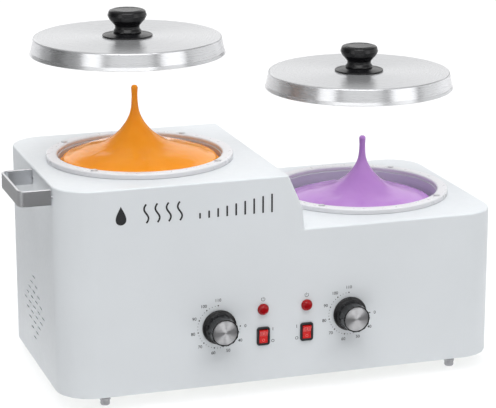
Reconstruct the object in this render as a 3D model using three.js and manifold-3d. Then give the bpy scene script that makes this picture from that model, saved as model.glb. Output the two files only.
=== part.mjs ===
// Double-pot wax warmer: a stepped sheet-metal body with a tall and a low deck, two pots with
// lift-off lids, two thermostat dials, two rocker switches and two neon lamps.
// Millimetres, +Z up, +X along the body, -Y towards the user. The origin is the centre of the
// footprint at the height of the surface that the feet stand on.

import * as THREE from 'three';
import { mergeVertices } from 'three/addons/utils/BufferGeometryUtils.js';
import Module from 'manifold-3d';

const wasm = await Module();
wasm.setup();

// ---------------------------------------------------------------- driving dimensions

const BODY_LENGTH = 510;
const BODY_DEPTH = 268;
const BODY_CORNER = 40;          // plan radius of the four upright corners
const FOOT_HEIGHT = 14;
const HIGH_DECK = FOOT_HEIGHT + 233;
const LOW_DECK = FOOT_HEIGHT + 171;
const SHEET = 1.5;               // sheet metal of the casing
const GAP = 0.3;                 // clearance between separate pieces
const RISER_TOP_X = 1.4;         // the slanted riser between the decks: its top edge,
const RISER_KNEE_X = 18.1;       // the knee where it turns upright,
const RISER_FOOT_X = 20;         // and its foot on the low deck
const RISER_KNEE_Z = HIGH_DECK - 38;

// A lid is held above its pot by lidLift, and to one side of it by lidShift.
const STATIONS = [
  {
    side: 'left',
    x: -130,
    deck: HIGH_DECK,
    potDepth: 131,
    waxBelowRim: 9.5,
    peakHeight: 86,
    peakX: -3,
    lidLift: 120,
    lidShift: -12,
  },
  {
    side: 'right',
    x: 133.7,
    deck: LOW_DECK,
    potDepth: 94,
    waxBelowRim: 20,
    peakHeight: 80,
    peakX: 5,
    lidLift: 125,
    lidShift: 0,
  },
];

const POT_RADIUS = 92;           // inside
const POT_WALL = 1.2;
const POT_FOOT_CURVE = 10;       // height of the curve between the pot's wall and its floor
const POT_FLANGE_RADIUS = 102;
const RIM_RADIUS = 105.5;        // outside of the raised rim ring
const RIM_OPENING = 93;
const RIM_HEIGHT = 6.2;
const RIM_SHEET = 1.2;
const RIVET_CIRCLE = 99.5;
const RIVETS_PER_RIM = 4;
const RIVET_HEAD_RADIUS = 4;
const RIVET_SHANK_RADIUS = 1.7;
const RIVET_HOLE_RADIUS = 2;
const HEATER_HEIGHT = 50;
const HEATER_THICKNESS = 2.5;
const HEATER_ABOVE_FLOOR = 14;
const INSULATION_AIR = 12;       // air between the pot and its insulation
const INSULATION_THICKNESS = 6;

const LID_RADIUS = 109;
const LID_TOP_RADIUS = 104.5;
const LID_HEIGHT = 18.5;
const LID_SHEET = 1;
const KNOB_FLANGE_RADIUS = 28;
const KNOB_FLANGE_HEIGHT = 4;
const KNOB_WAIST_RADIUS = 13.5;
const KNOB_RADIUS = 22;
const KNOB_HEIGHT = 26;
const LID_SCREW_RADIUS = 2;
const LID_SCREW_HOLE_RADIUS = 2.4;

const CONTROLS = [
  { side: 'left', dialX: -79, switchX: -28 },
  { side: 'right', dialX: 74, switchX: 23 },
];
const DIAL_Z = 82;
const SWITCH_Z = 66;
const LAMP_Z = 97;
const DIAL_SKIRT_RADIUS = 19.5;
const DIAL_GRIP_RADIUS = 15.8;
const DIAL_DEPTH = 24;           // how far a dial stands out from the front wall
const DIAL_CAP_RADIUS = 13.8;
const DIAL_CAP_THICKNESS = 1.5;
const DIAL_FLUTES = 10;
const FLUTE_RADIUS = 2;
const SHAFT_RADIUS = 3;
const PANEL_HOLE_RADIUS = 5;     // for the thermostat bushes and the lamps
const THERMOSTAT_HEAD = 34;      // square
const CAPILLARY_RADIUS = 1;
const BULB_RADIUS = 3;
const SWITCH_WIDTH = 15;
const SWITCH_HEIGHT = 21;
const SWITCH_CUTOUT = [13.6, 19.6];
const SWITCH_HOUSING = [12.8, 18.8];
const SWITCH_WELL = [10.4, 17];
const ROCKER_WIDTH = 9.8;
const ROCKER_TILT = THREE.MathUtils.degToRad(8);
const LAMP_RADIUS = 6.5;

const VENT_ROWS = [1, 2, 3, 4, 5, 4, 3, 2, 1];
const VENT_LENGTH = 12.5;
const VENT_HEIGHT = 2;
const VENT_PITCH_Y = 22.5;
const VENT_PITCH_Z = 9;
const VENT_CENTRE_Y = 5;
const VENT_CENTRE_Z = 79.5;

const HANDLES = [
  { side: 'left', outward: -1, y: -52, top: HIGH_DECK - 3 },
  { side: 'right', outward: 1, y: 52, top: LOW_DECK - 27 },
];
const HANDLE_WIDTH = 96;
const HANDLE_REACH = 36;
const HANDLE_STRAP = 17.5;
const HANDLE_THICKNESS = 3;
const HANDLE_CORNER = 9;
const STUD_RADIUS = 2;
const STUD_LENGTH = 9;
const STUD_HOLE_RADIUS = 2.4;
const NUT_RADIUS = 4;
const NUT_THICKNESS = 3.2;

const FOOT_X = 205;
const FOOT_Y = BODY_DEPTH / 2 - 18;
const FOOT_RADIUS = 6;
const INLET_X = 170;
const INLET_Z = 58;
const INLET_PROUD = 2.5;
const INLET_FLANGE = [31, 24];
const INLET_CUTOUT = [28.6, 21.6];
const INLET_SHELL = [27.6, 20.4];
const INLET_SOCKET = [24, 16];
const INLET_DEPTH = 20;
const PAN_HEIGHT = 12;

const FRONT_Y = -BODY_DEPTH / 2;
const REAR_Y = BODY_DEPTH / 2;
const BODY_CENTRE_Y = (DIAL_DEPTH - INLET_PROUD) / 2;   // centres the footprint on the origin

const FINE = 32;                 // sides of large turned pieces
const MEDIUM = 24;
const KNOB_SIDES = 20;
const COARSE = 16;
const SCREW_SIDES = 12;
const SMALL = 8;
const OVERCUT = 1;               // how far a cutting tool reaches past the faces that it opens

// ---------------------------------------------------------------- materials

const finish = (color, roughness, metalness) =>
  new THREE.MeshStandardMaterial({ color, roughness, metalness });

const paint = finish(0xd3d6d8, 0.45, 0.1);
const spunAluminium = finish(0xa7abb0, 0.35, 0.9);
const satinAluminium = finish(0xd2d4d6, 0.3, 0.9);
const polishedSteel = finish(0xc8cacd, 0.15, 1);
const zincSteel = finish(0xb9bbb8, 0.4, 0.9);
const blackPlastic = finish(0x2b2b2e, 0.45, 0);
const redPlastic = finish(0xd8261f, 0.25, 0);
const lampRed = finish(0xb4000f, 0.15, 0);
const footPlastic = finish(0xaaa8af, 0.4, 0);
const micaFoil = finish(0x9c8f7a, 0.6, 0.4);
const glassWool = finish(0xe8dfae, 0.95, 0);
const ceramic = finish(0xe9e4d8, 0.5, 0);
const amberWax = finish(0xec9a3a, 0.15, 0);
const lilacWax = finish(0xaf82c3, 0.15, 0);

// ---------------------------------------------------------------- shape helpers

function toSolid(geometry) {
  const bare = geometry.clone();
  bare.deleteAttribute('normal');
  bare.deleteAttribute('uv');
  const merged = mergeVertices(bare, 1e-4);
  const corners = merged.index.array;
  const kept = [];
  for (let i = 0; i < corners.length; i += 3) {
    const [a, b, c] = [corners[i], corners[i + 1], corners[i + 2]];
    if (a !== b && b !== c && c !== a) kept.push(a, b, c);
  }
  const mesh = new wasm.Mesh({
    numProp: 3,
    vertProperties: new Float32Array(merged.attributes.position.array),
    triVerts: new Uint32Array(kept),
  });
  return new wasm.Manifold(mesh);
}

function toGeometry(solid) {
  const mesh = solid.getMesh();
  const geometry = new THREE.BufferGeometry();
  geometry.setAttribute('position', new THREE.BufferAttribute(mesh.vertProperties, mesh.numProp));
  geometry.setIndex(new THREE.BufferAttribute(mesh.triVerts, 1));
  geometry.computeVertexNormals();
  return geometry;
}

// A solid turned about Z from [radius, height] points that run anticlockwise in that plane.
function turned(outline, sides) {
  const points = outline.map(([radius, height]) => new THREE.Vector2(radius, height));
  const open = outline[0][0] === 0;
  if (!open) points.push(points[0].clone());
  return toSolid(new THREE.LatheGeometry(points, sides).rotateX(Math.PI / 2));
}

// A plan outline pulled up from z0 to z1.
function pulledUp(shape, z0, z1, arcSides = 6) {
  const options = { depth: z1 - z0, bevelEnabled: false, curveSegments: arcSides };
  return toSolid(new THREE.ExtrudeGeometry(shape, options).translate(0, 0, z0));
}

// An upright outline of [x, z] points, pulled through the depth from y0 to y1.
function pulledBack(outline, y0, y1) {
  const shape = new THREE.Shape(outline.map(([x, z]) => new THREE.Vector2(x, z)));
  const options = { depth: y1 - y0, bevelEnabled: false };
  const geometry = new THREE.ExtrudeGeometry(shape, options);
  return toSolid(geometry.rotateX(Math.PI / 2).translate(0, y1, 0));
}

// An upright outline of [y, z] points, pulled across the width and centred on x = 0.
function pulledAcross(outline, width) {
  const shape = new THREE.Shape(outline.map(([y, z]) => new THREE.Vector2(y, z)));
  const geometry = new THREE.ExtrudeGeometry(shape, { depth: width, bevelEnabled: false });
  geometry.translate(0, 0, -width / 2).rotateY(Math.PI / 2).rotateX(Math.PI / 2);
  return toSolid(geometry);
}

// A block of [width, height] in x and z that is centred on x, z and reaches from y0 to y1.
function plug([width, height], y0, y1, x = 0, z = 0) {
  return block([x - width / 2, y0, z - height / 2], [x + width / 2, y1, z + height / 2]);
}

function block([x0, y0, z0], [x1, y1, z1]) {
  const geometry = new THREE.BoxGeometry(x1 - x0, y1 - y0, z1 - z0);
  return toSolid(geometry.translate((x0 + x1) / 2, (y0 + y1) / 2, (z0 + z1) / 2));
}

// A round bar along one axis, from one value of that coordinate to the other.
function bar(axis, radius, from, to, { centre = [0, 0, 0], sides = COARSE } = {}) {
  const geometry = new THREE.CylinderGeometry(radius, radius, to - from, sides);
  if (axis === 'x') geometry.rotateZ(-Math.PI / 2);
  if (axis === 'z') geometry.rotateX(Math.PI / 2);
  const middle = [...centre];
  middle['xyz'.indexOf(axis)] = (from + to) / 2;
  return toSolid(geometry.translate(...middle));
}

const cut = (solid, tools) => tools.reduce((left, tool) => left.subtract(tool), solid);
const join = (solids) => solids.reduce((sum, solid) => sum.add(solid));

function roundedRectangle(width, height, radius) {
  const [x, y] = [width / 2, height / 2];
  const shape = new THREE.Shape();
  shape.moveTo(-x + radius, -y);
  shape.lineTo(x - radius, -y);
  shape.absarc(x - radius, -y + radius, radius, -Math.PI / 2, 0);
  shape.lineTo(x, y - radius);
  shape.absarc(x - radius, y - radius, radius, 0, Math.PI / 2);
  shape.lineTo(-x + radius, y);
  shape.absarc(-x + radius, y - radius, radius, Math.PI / 2, Math.PI);
  shape.lineTo(-x, -y + radius);
  shape.absarc(-x + radius, -y + radius, radius, Math.PI, Math.PI * 1.5);
  return shape;
}

function addPiece(parent, name, solid, material, position = [0, 0, 0]) {
  const piece = new THREE.Mesh(toGeometry(solid), material);
  piece.name = name;
  piece.position.set(...position);
  parent.add(piece);
}

function addGroup(parent, position) {
  const group = new THREE.Group();
  group.position.set(...position);
  parent.add(group);
  return group;
}

const rivetSpots = Array.from({ length: RIVETS_PER_RIM }, (_, i) => {
  const angle = Math.PI / 4 + (i * 2 * Math.PI) / RIVETS_PER_RIM;
  return [RIVET_CIRCLE * Math.cos(angle), RIVET_CIRCLE * Math.sin(angle)];
});

// Cutting tools for the rivet holes round a pot at x.
function rivetHoles(x, from, to) {
  return rivetSpots.map(([rx, ry]) =>
    bar('z', RIVET_HOLE_RADIUS, from, to, { centre: [x + rx, ry, 0], sides: SMALL }));
}

// ---------------------------------------------------------------- casing

// The side view of everything that lies below the decks by the given distance.
function belowDecks(inset) {
  const end = BODY_LENGTH / 2 + OVERCUT;
  return [
    [-end, 0],
    [end, 0],
    [end, LOW_DECK - inset],
    [RISER_FOOT_X - inset, LOW_DECK - inset],
    [RISER_KNEE_X - inset, RISER_KNEE_Z - inset / 2],
    [RISER_TOP_X - inset, HIGH_DECK - inset],
    [-end, HIGH_DECK - inset],
  ];
}

// The plan outline of the body, inset all round, pulled up from z0 to z1.
function casingPlan(inset, z0, z1) {
  const [length, depth] = [BODY_LENGTH - 2 * inset, BODY_DEPTH - 2 * inset];
  return pulledUp(roundedRectangle(length, depth, BODY_CORNER - inset), z0, z1);
}

function makeDeckPlate() {
  const stepped = pulledBack(belowDecks(0), FRONT_Y, REAR_Y);
  const underside = pulledBack(belowDecks(SHEET), FRONT_Y - OVERCUT, REAR_Y + OVERCUT);
  const outline = casingPlan(0, FOOT_HEIGHT, HIGH_DECK + OVERCUT);
  const holes = STATIONS.flatMap(({ x, deck }) => {
    const [from, to] = [deck - SHEET - OVERCUT, deck + OVERCUT];
    const potHole = { centre: [x, 0, 0], sides: FINE };
    return [bar('z', POT_RADIUS + POT_WALL + 2 * GAP, from, to, potHole), ...rivetHoles(x, from, to)];
  });
  return cut(stepped.intersect(outline).subtract(underside), holes);
}

function ventTools() {
  return VENT_ROWS.flatMap((count, row) => {
    const z = VENT_CENTRE_Z + ((VENT_ROWS.length - 1) / 2 - row) * VENT_PITCH_Z;
    return Array.from({ length: count }, (_, i) => {
      const y = VENT_CENTRE_Y + (i - (count - 1) / 2) * VENT_PITCH_Y;
      const low = [-BODY_LENGTH, y - VENT_LENGTH / 2, z - VENT_HEIGHT / 2];
      const high = [BODY_LENGTH, y + VENT_LENGTH / 2, z + VENT_HEIGHT / 2];
      return block(low, high);
    });
  });
}

function handleStudSpots({ outward, y, top }) {
  const z = top - HANDLE_STRAP / 2;
  const offset = (HANDLE_WIDTH - HANDLE_THICKNESS) / 2;
  return [-offset, offset].map((dy) => [outward * (BODY_LENGTH / 2), y + dy, z]);
}

function makeSideBand() {
  const cavity = casingPlan(SHEET, 0, HIGH_DECK + OVERCUT);
  const wall = casingPlan(0, FOOT_HEIGHT, HIGH_DECK).subtract(cavity);
  const underDecks = pulledBack(belowDecks(SHEET + GAP), FRONT_Y - OVERCUT, REAR_Y + OVERCUT);
  const [frontFrom, frontTo] = [FRONT_Y - OVERCUT, FRONT_Y + SHEET + OVERCUT];
  const frontHoles = CONTROLS.flatMap(({ dialX, switchX }) => [
    bar('y', PANEL_HOLE_RADIUS, frontFrom, frontTo, { centre: [dialX, 0, DIAL_Z] }),
    bar('y', PANEL_HOLE_RADIUS, frontFrom, frontTo, { centre: [switchX, 0, LAMP_Z] }),
    plug(SWITCH_CUTOUT, frontFrom, frontTo, switchX, SWITCH_Z),
  ]);
  const inletHole = plug(INLET_CUTOUT, REAR_Y - SHEET - OVERCUT, REAR_Y + OVERCUT, INLET_X, INLET_Z);
  const studHoles = HANDLES.flatMap((handle) =>
    handleStudSpots(handle).map(([x, y, z]) =>
      bar('x', STUD_HOLE_RADIUS, x - 2 * SHEET, x + 2 * SHEET, { centre: [0, y, z], sides: SMALL })));
  return cut(wall.intersect(underDecks), [...ventTools(), ...frontHoles, inletHole, ...studHoles]);
}

function makeBasePan() {
  const inset = SHEET + GAP;
  const tray = casingPlan(inset, FOOT_HEIGHT, FOOT_HEIGHT + PAN_HEIGHT);
  const hollow = casingPlan(inset + SHEET, FOOT_HEIGHT + SHEET, FOOT_HEIGHT + PAN_HEIGHT + OVERCUT);
  return tray.subtract(hollow);
}

function makeFoot() {
  return turned([
    [0, 0],
    [FOOT_RADIUS - 0.8, 0],
    [FOOT_RADIUS, 1],
    [FOOT_RADIUS, FOOT_HEIGHT - GAP],
    [0, FOOT_HEIGHT - GAP],
  ], COARSE);
}

// ---------------------------------------------------------------- pot stations
// Heights in this section are measured from the deck that the pot hangs in.

function makePot(depth) {
  const outer = POT_RADIUS + POT_WALL;
  const floor = -depth;
  const pot = turned([
    [0, floor - POT_WALL],
    [outer - POT_FOOT_CURVE, floor - POT_WALL],
    [outer - POT_FOOT_CURVE / 4, floor + POT_FOOT_CURVE / 4],
    [outer, floor + POT_FOOT_CURVE],
    [outer, GAP],
    [POT_FLANGE_RADIUS, GAP],
    [POT_FLANGE_RADIUS, GAP + POT_WALL],
    [POT_RADIUS, GAP + POT_WALL],
    [POT_RADIUS, floor + POT_FOOT_CURVE],
    [POT_RADIUS - POT_FOOT_CURVE / 4, floor + POT_FOOT_CURVE / 3],
    [POT_RADIUS - POT_FOOT_CURVE, floor],
    [0, floor],
  ], FINE);
  return cut(pot, rivetHoles(0, -OVERCUT, GAP + POT_WALL + OVERCUT));
}

function makeRimRing() {
  const lipFoot = GAP + POT_WALL + GAP;
  const ceiling = RIM_HEIGHT - RIM_SHEET;
  const ring = turned([
    [RIM_OPENING, lipFoot],
    [RIM_OPENING + RIM_SHEET, lipFoot],
    [RIM_OPENING + RIM_SHEET, ceiling],
    [RIM_RADIUS - RIM_SHEET, ceiling],
    [RIM_RADIUS - RIM_SHEET, GAP],
    [RIM_RADIUS, GAP],
    [RIM_RADIUS, RIM_HEIGHT - 1],
    [RIM_RADIUS - 1, RIM_HEIGHT],
    [RIM_OPENING + 1, RIM_HEIGHT],
    [RIM_OPENING, RIM_HEIGHT - 1],
  ], FINE);
  return cut(ring, rivetHoles(0, -OVERCUT, RIM_HEIGHT + OVERCUT));
}

function makeRivet() {
  const headFoot = RIM_HEIGHT + 0.1;
  return turned([
    [0, -SHEET - 1.5],
    [RIVET_SHANK_RADIUS, -SHEET - 1.5],
    [RIVET_SHANK_RADIUS, headFoot],
    [RIVET_HEAD_RADIUS, headFoot],
    [RIVET_HEAD_RADIUS * 0.7, headFoot + 1],
    [0, headFoot + 1.3],
  ], SMALL);
}

function makeSleeve(innerRadius, outerRadius, bottom, top, sides) {
  return turned([
    [innerRadius, bottom],
    [outerRadius, bottom],
    [outerRadius, top],
    [innerRadius, top],
  ], sides);
}

// A clamped band round the foot of the pot, split between two clamp ears at the front.
function makeBandHeater(potDepth) {
  const inner = POT_RADIUS + POT_WALL + GAP;
  const bottom = -potDepth + HEATER_ABOVE_FLOOR;
  const top = bottom + HEATER_HEIGHT;
  const band = makeSleeve(inner, inner + HEATER_THICKNESS, bottom, top, FINE);
  const ears = block([-4, -inner - 8, bottom + 10], [4, -inner - 1.5, top - 10]);
  const split = block([-1, -inner - 20, bottom - OVERCUT], [1, -inner + 5, top + OVERCUT]);
  return band.add(ears).subtract(split);
}

function makeInsulation(potDepth) {
  const inner = POT_RADIUS + POT_WALL + INSULATION_AIR;
  return makeSleeve(inner, inner + INSULATION_THICKNESS, -potDepth, -SHEET - 10, MEDIUM);
}

function makeWaxFill({ potDepth, waxBelowRim }) {
  const radius = POT_RADIUS - GAP;
  const floor = -potDepth + GAP;
  const level = RIM_HEIGHT - waxBelowRim;
  return turned([
    [0, floor],
    [radius - POT_FOOT_CURVE, floor],
    [radius - POT_FOOT_CURVE / 4, floor + POT_FOOT_CURVE / 3],
    [radius, floor + POT_FOOT_CURVE],
    [radius, level],
    [0, level],
  ], FINE);
}

// The wax drawn up in a point above the surface, with a bead at its tip.
function makeWaxPeak({ waxBelowRim, peakHeight }) {
  const foot = RIM_HEIGHT - waxBelowRim + GAP;
  return turned([
    [0, foot],
    [72, foot],
    [52, foot + peakHeight * 0.17],
    [30, foot + peakHeight * 0.3],
    [15, foot + peakHeight * 0.47],
    [7, foot + peakHeight * 0.61],
    [2.6, foot + peakHeight * 0.8],
    [3.8, foot + peakHeight * 0.94],
    [0, foot + peakHeight],
  ], COARSE);
}

// ---------------------------------------------------------------- lids
// Heights in this section are measured from the foot of the lid's skirt.

function makeLid() {
  const hole = LID_SCREW_HOLE_RADIUS;
  return turned([
    [LID_RADIUS - LID_SHEET, 0],
    [LID_RADIUS, 0],
    [LID_RADIUS - 1.6, 4],
    [LID_TOP_RADIUS + 0.2, LID_HEIGHT - 2],
    [LID_TOP_RADIUS - 1.5, LID_HEIGHT],
    [hole, LID_HEIGHT],
    [hole, LID_HEIGHT - LID_SHEET],
    [LID_TOP_RADIUS - 2.2, LID_HEIGHT - LID_SHEET],
    [LID_TOP_RADIUS - 1, LID_HEIGHT - 2.4],
    [LID_RADIUS - 1.6 - LID_SHEET, 4],
  ], FINE);
}

function makeKnobFlange() {
  const foot = LID_HEIGHT + GAP;
  const hole = LID_SCREW_HOLE_RADIUS;
  return turned([
    [hole, foot],
    [KNOB_FLANGE_RADIUS, foot],
    [KNOB_FLANGE_RADIUS, foot + 1.5],
    [KNOB_FLANGE_RADIUS - 6, foot + KNOB_FLANGE_HEIGHT],
    [hole, foot + KNOB_FLANGE_HEIGHT],
  ], KNOB_SIDES);
}

function makeLidKnob() {
  const foot = LID_HEIGHT + KNOB_FLANGE_HEIGHT + 2 * GAP;
  const bore = LID_SCREW_RADIUS + GAP;
  const boreEnd = foot + 12;
  return turned([
    [0, boreEnd],
    [bore, boreEnd],
    [bore, foot],
    [KNOB_WAIST_RADIUS + 2.5, foot],
    [KNOB_WAIST_RADIUS, foot + 4.5],
    [KNOB_WAIST_RADIUS + 1, foot + 8],
    [KNOB_RADIUS - 2, foot + 11],
    [KNOB_RADIUS, foot + 14],
    [KNOB_RADIUS, foot + 18],
    [KNOB_RADIUS - 4, foot + 23],
    [KNOB_RADIUS / 2, foot + KNOB_HEIGHT - 0.8],
    [0, foot + KNOB_HEIGHT],
  ], KNOB_SIDES);
}

function makeLidScrew() {
  const underside = LID_HEIGHT - LID_SHEET - 0.1;
  const tip = LID_HEIGHT + KNOB_FLANGE_HEIGHT + 10;
  return turned([
    [0, underside - 2.4],
    [3.5, underside - 2.2],
    [4.5, underside],
    [LID_SCREW_RADIUS, underside],
    [LID_SCREW_RADIUS, tip],
    [0, tip],
  ], SCREW_SIDES);
}

// ---------------------------------------------------------------- controls
// In this section y = 0 is the outer face of the front wall and +y leads into the body.

// A skirted knob: a wide flat skirt, and a fluted grip with a recess for the metal cap.
function makeDialKnob() {
  const medium = { sides: MEDIUM };
  const skirt = bar('y', DIAL_SKIRT_RADIUS, -4, -1, medium);
  const grip = bar('y', DIAL_GRIP_RADIUS, -DIAL_DEPTH, -3.5, medium);
  const flutes = Array.from({ length: DIAL_FLUTES }, (_, i) => {
    const angle = ((i + 0.5) * 2 * Math.PI) / DIAL_FLUTES;
    const distance = DIAL_GRIP_RADIUS + 0.8;
    const centre = [distance * Math.cos(angle), 0, distance * Math.sin(angle)];
    return bar('y', FLUTE_RADIUS, -DIAL_DEPTH - OVERCUT, -4.2, { centre, sides: SMALL });
  });
  const capSeat = -DIAL_DEPTH + DIAL_CAP_THICKNESS + 0.1;
  const capRecess = bar('y', DIAL_CAP_RADIUS + GAP, -DIAL_DEPTH - OVERCUT, capSeat, medium);
  const shaftBore = bar('y', SHAFT_RADIUS + 0.05, -18, OVERCUT);
  return cut(join([skirt, grip]), [...flutes, capRecess, shaftBore]);
}

function makeDialCap() {
  return bar('y', DIAL_CAP_RADIUS, -DIAL_DEPTH, -DIAL_DEPTH + DIAL_CAP_THICKNESS, { sides: MEDIUM });
}

// A round shaft with a flat on its outer end.
function makeThermostatShaft() {
  const shaft = bar('y', SHAFT_RADIUS, -16, 12);
  const flat = block([-5, -17, SHAFT_RADIUS - 0.8], [5, -6, 6]);
  return shaft.subtract(flat);
}

// The switch head, its threaded bush, and the capillary tube that leads to the sensing bulb.
function makeThermostat(bulbX, bulbY, bulbZ) {
  const head = block(
    [-THERMOSTAT_HEAD / 2, SHEET + 0.5, -14],
    [THERMOSTAT_HEAD / 2, 24, 14],
  );
  const bush = bar('y', PANEL_HOLE_RADIUS - 0.4, -0.5, SHEET + OVERCUT);
  const capillaryPath = new THREE.CatmullRomCurve3([
    new THREE.Vector3(0, 22, 8),
    new THREE.Vector3(0, 38, 4),
    new THREE.Vector3(bulbX * 0.3, bulbY * 0.4, bulbZ - 2),
    new THREE.Vector3(bulbX, bulbY - 28, bulbZ),
  ]);
  const ringSection = new THREE.Shape().absarc(0, 0, CAPILLARY_RADIUS, 0, Math.PI * 2);
  const tube = new THREE.ExtrudeGeometry(ringSection, {
    extrudePath: capillaryPath,
    steps: 14,
    curveSegments: 3,
    bevelEnabled: false,
  });
  const bulbPlace = { centre: [bulbX, 0, bulbZ], sides: SMALL };
  const bulb = bar('y', BULB_RADIUS, bulbY - 30, bulbY + 40, bulbPlace);
  const shaftBore = bar('y', SHAFT_RADIUS + GAP, -OVERCUT, 13);
  return cut(join([head, bush, toSolid(tube), bulb]), [shaftBore]);
}

function makeSwitchFrame() {
  const bezel = plug([SWITCH_WIDTH, SWITCH_HEIGHT], -2, -0.2);
  const housing = plug(SWITCH_HOUSING, -1, 20);
  const well = plug(SWITCH_WELL, -3, 12);
  return cut(join([bezel, housing]), [well]);
}

// Two facets that meet in a shallow valley, tipped about the pivot so that the lower one is in.
function makeRocker() {
  const outline = [
    [-4, 7.4],
    [-2.6, 0],
    [-4, -7.4],
    [0.5, -7.8],
    [5.5, -3],
    [5.5, 3],
    [0.5, 7.8],
  ];
  const [sin, cos] = [Math.sin(ROCKER_TILT), Math.cos(ROCKER_TILT)];
  const tipped = outline.map(([y, z]) => [y * cos - z * sin, y * sin + z * cos]);
  return pulledAcross(tipped, ROCKER_WIDTH);
}

// Turned about Z, with the dome upwards; the assembly lays it over to face the user.
function makeLampLens() {
  return turned([
    [0, -3],
    [4.2, -3],
    [4.2, 0.2],
    [LAMP_RADIUS, 0.2],
    [LAMP_RADIUS - 0.3, 1.8],
    [LAMP_RADIUS - 2, 4],
    [LAMP_RADIUS / 2, 5.1],
    [0, 5.5],
  ], KNOB_SIDES);
}

function makeLampBody() {
  return turned([
    [0, -26],
    [4.2, -26],
    [4.2, -6],
    [6, -6],
    [6, -3.3],
    [0, -3.3],
  ], COARSE);
}

// ---------------------------------------------------------------- handles and inlet

// A strap bent into a loop, with two threaded studs on the ends that meet the wall.
function makeHandle({ outward }) {
  const half = HANDLE_WIDTH / 2;
  const reach = HANDLE_REACH - GAP;
  const innerHalf = half - HANDLE_THICKNESS;
  const innerCorner = HANDLE_CORNER - HANDLE_THICKNESS;
  const [cornerX, cornerY] = [reach - HANDLE_CORNER, half - HANDLE_CORNER];
  const strap = new THREE.Shape();
  strap.moveTo(0, -half);
  strap.lineTo(cornerX, -half);
  strap.absarc(cornerX, -cornerY, HANDLE_CORNER, -Math.PI / 2, 0, false);
  strap.absarc(cornerX, cornerY, HANDLE_CORNER, 0, Math.PI / 2, false);
  strap.lineTo(0, half);
  strap.lineTo(0, innerHalf);
  strap.absarc(cornerX, cornerY, innerCorner, Math.PI / 2, 0, true);
  strap.absarc(cornerX, -cornerY, innerCorner, 0, -Math.PI / 2, true);
  strap.lineTo(0, -innerHalf);
  const loop = pulledUp(strap, -HANDLE_STRAP / 2, HANDLE_STRAP / 2, 4);
  const studY = (HANDLE_WIDTH - HANDLE_THICKNESS) / 2;
  const studs = [-studY, studY].map((y) =>
    bar('x', STUD_RADIUS, -STUD_LENGTH, 1, { centre: [0, y, 0], sides: SMALL }));
  const geometry = toGeometry(join([loop, ...studs]));
  if (outward < 0) geometry.rotateZ(Math.PI);
  return toSolid(geometry);
}

function makeNut() {
  const hexagon = bar('x', NUT_RADIUS, -NUT_THICKNESS / 2, NUT_THICKNESS / 2, { sides: 6 });
  return hexagon.subtract(bar('x', STUD_RADIUS + 0.1, -NUT_THICKNESS, NUT_THICKNESS, { sides: SMALL }));
}

// A mains inlet whose socket opens to the rear, with three flat pins.
function makePowerInlet() {
  const flange = plug(INLET_FLANGE, 0.2, INLET_PROUD);
  const shell = plug(INLET_SHELL, -INLET_DEPTH, OVERCUT);
  const socket = plug(INLET_SOCKET, -15, INLET_PROUD + OVERCUT);
  const pins = [[-7, -1], [0, 3], [7, -1]].map(([x, z]) => plug([2, 4], -16, -3, x, z));
  return join([cut(join([flange, shell]), [socket]), ...pins]);
}

function makeTerminalBlock() {
  const base = block([-24, -9, 0], [24, 9, 12]);
  const screwWells = [-16, -5.3, 5.3, 16].map((x) =>
    bar('z', 3, 7, 13, { centre: [x, 0, 0], sides: SMALL }));
  return cut(base, screwWells);
}

// ---------------------------------------------------------------- assembly

const group = new THREE.Group();
const body = addGroup(group, [0, BODY_CENTRE_Y, 0]);

addPiece(body, 'side_band', makeSideBand(), paint);
addPiece(body, 'deck_plate', makeDeckPlate(), paint);
addPiece(body, 'base_pan', makeBasePan(), zincSteel);

[[-1, -1], [1, -1], [1, 1], [-1, 1]].forEach(([sx, sy], i) => {
  addPiece(body, `foot_${i + 1}`, makeFoot(), footPlastic, [sx * FOOT_X, sy * FOOT_Y, 0]);
});

for (const station of STATIONS) {
  const { side, x, deck, potDepth, peakX, lidLift, lidShift } = station;
  const seat = addGroup(body, [x, 0, deck]);
  addPiece(seat, `pot_${side}`, makePot(potDepth), spunAluminium);
  addPiece(seat, `rim_ring_${side}`, makeRimRing(), paint);
  rivetSpots.forEach(([rx, ry], i) => {
    addPiece(seat, `rim_rivet_${side}_${i + 1}`, makeRivet(), satinAluminium, [rx, ry, 0]);
  });
  addPiece(seat, `band_heater_${side}`, makeBandHeater(potDepth), micaFoil);
  addPiece(seat, `insulation_${side}`, makeInsulation(potDepth), glassWool);
  const wax = side === 'left' ? amberWax : lilacWax;
  addPiece(seat, `wax_fill_${side}`, makeWaxFill(station), wax);
  addPiece(seat, `wax_peak_${side}`, makeWaxPeak(station), wax, [peakX, 0, 0]);
  const lid = addGroup(seat, [lidShift, 0, GAP + lidLift]);
  addPiece(lid, `lid_${side}`, makeLid(), satinAluminium);
  addPiece(lid, `lid_knob_flange_${side}`, makeKnobFlange(), blackPlastic);
  addPiece(lid, `lid_knob_${side}`, makeLidKnob(), blackPlastic);
  addPiece(lid, `lid_screw_${side}`, makeLidScrew(), zincSteel);
}

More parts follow.
